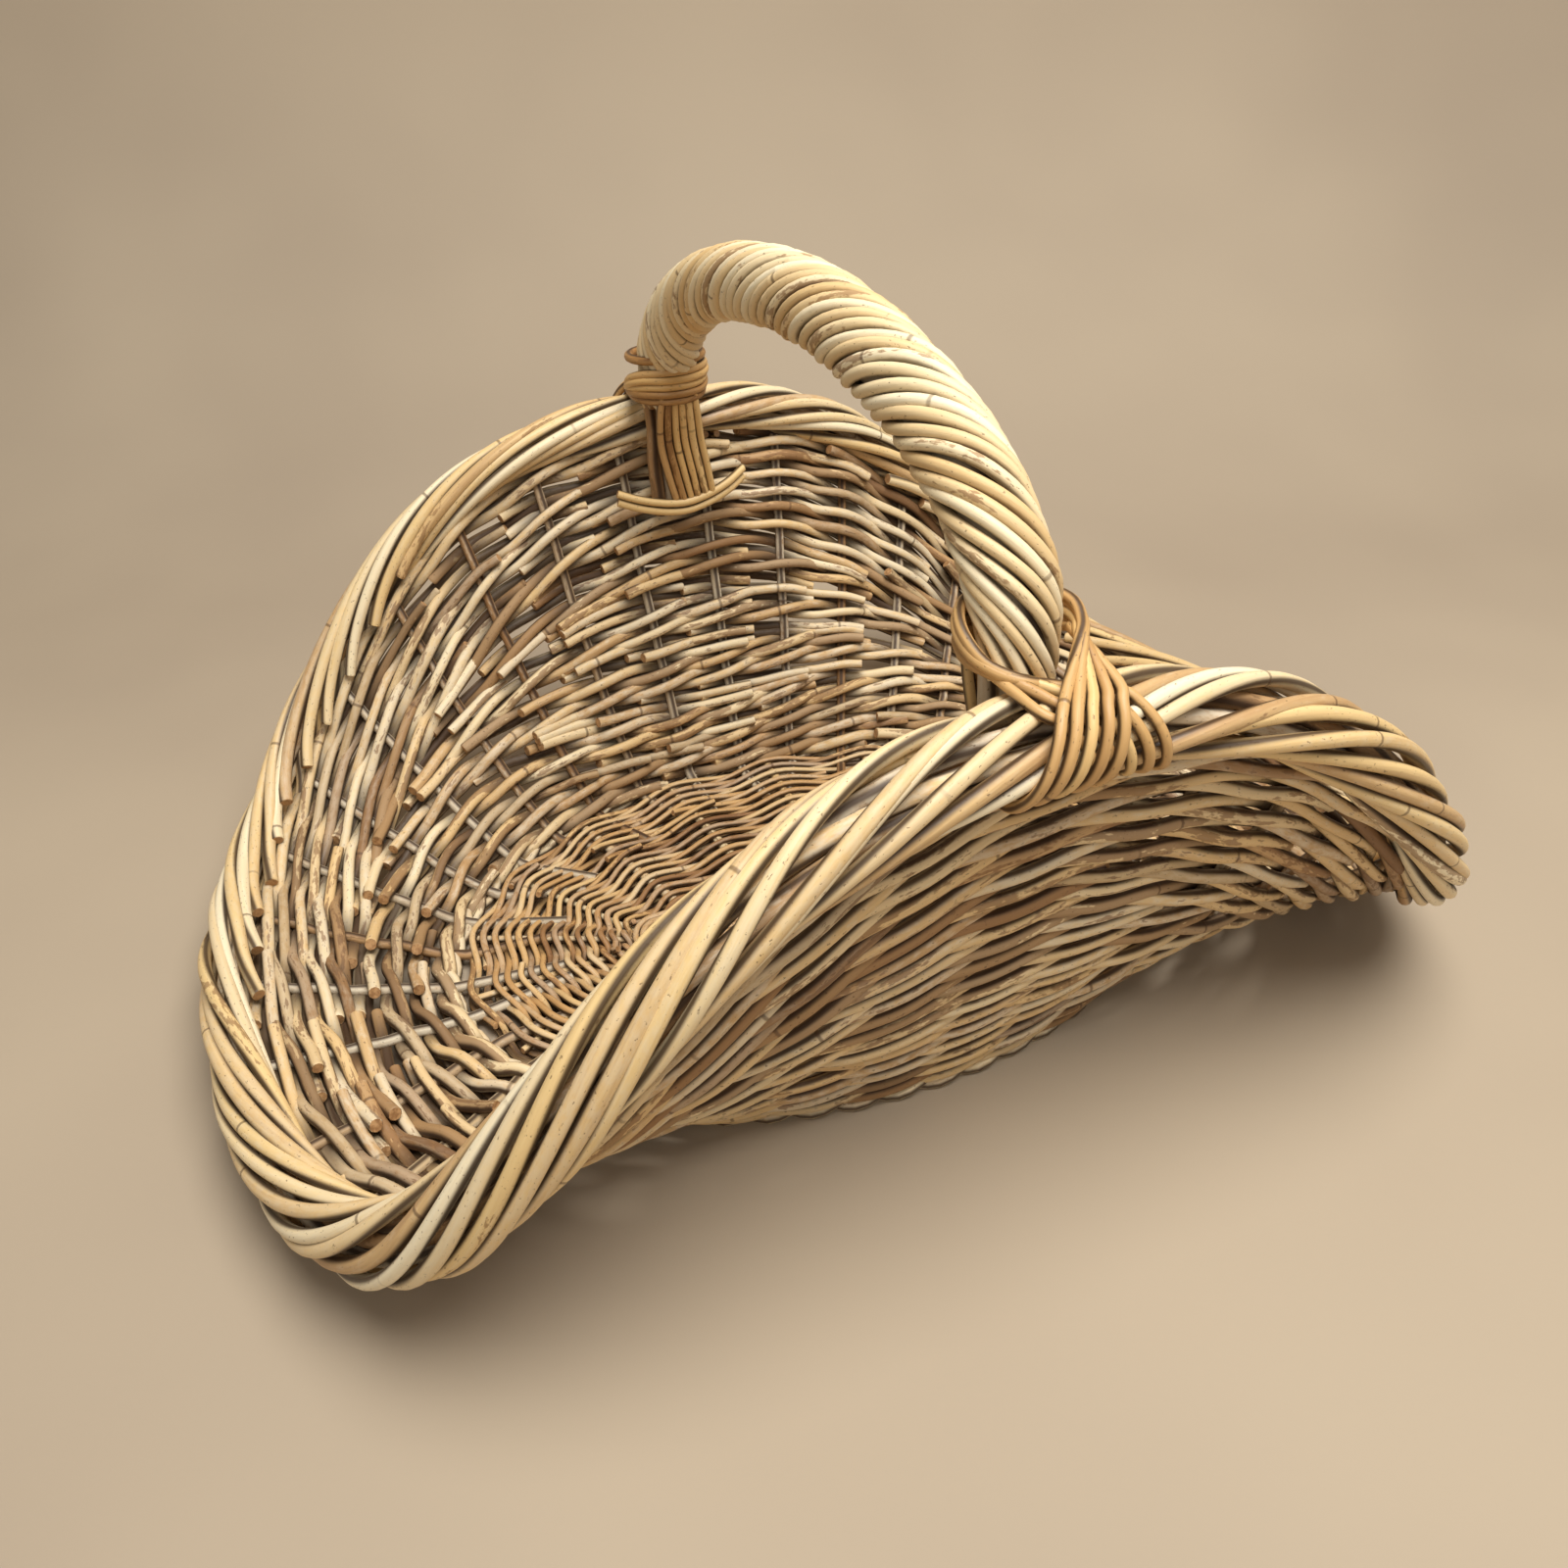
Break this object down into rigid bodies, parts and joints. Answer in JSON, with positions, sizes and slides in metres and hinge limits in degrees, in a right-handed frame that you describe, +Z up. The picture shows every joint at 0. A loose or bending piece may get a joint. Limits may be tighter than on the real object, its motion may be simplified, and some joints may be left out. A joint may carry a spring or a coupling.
{
  "type": "wicker log basket",
  "caption": "Oval open wicker carrying basket with high sides, two low flared lips, a rolled rope border and a fixed wrapped bow handle over the middle.",
  "frame": {"origin": "middle of the footprint, at the level of the base's underside", "axes": "+X along the basket's length towards the right-hand lip, +Y across it through the two feet of the handle, +Z up"},
  "size_m": [0.7044, 0.5226, 0.3855],
  "materials": {
    "stick": "peeled willow stick, brown, matt",
    "stake": "weathered willow rod, matt",
    "base_weaver": "thin honey-brown rod, satin",
    "wall_rod": "straw-coloured rod with grey bark patches, satin",
    "border_rod": "thick straw-coloured rod, satin",
    "handle_rod": "pale cream rod, smooth, satin",
    "lashing": "thin yellow-brown rod, satin"
  },
  "bodies": {
    "root": {"base_long_sticks": "stick", "base_short_sticks": "stick", "base_hub": "base_weaver", "base_weave_over": "base_weaver", "base_weave_under": "base_weaver", "foot_wale": "wall_rod", "front_stakes": "stake", "back_stakes": "stake", "left_stakes": "stake", "right_stakes": "stake", "front_siding": "wall_rod", "back_siding": "wall_rod", "left_siding": "wall_rod", "right_siding": "wall_rod", "front_lining": "wall_rod", "back_lining": "wall_rod", "left_lining": "wall_rod", "right_lining": "wall_rod", "front_border": "border_rod", "back_border": "border_rod", "left_border": "border_rod", "right_border": "border_rod", "border_butts": "border_rod", "handle_bow": "stick", "bow_liners": "stick", "handle_wrap": "handle_rod", "neck_lashing": "lashing", "lash_over": "lashing", "lash_under": "lashing", "fan_lashing": "lashing"}
  },
  "joints": []
}
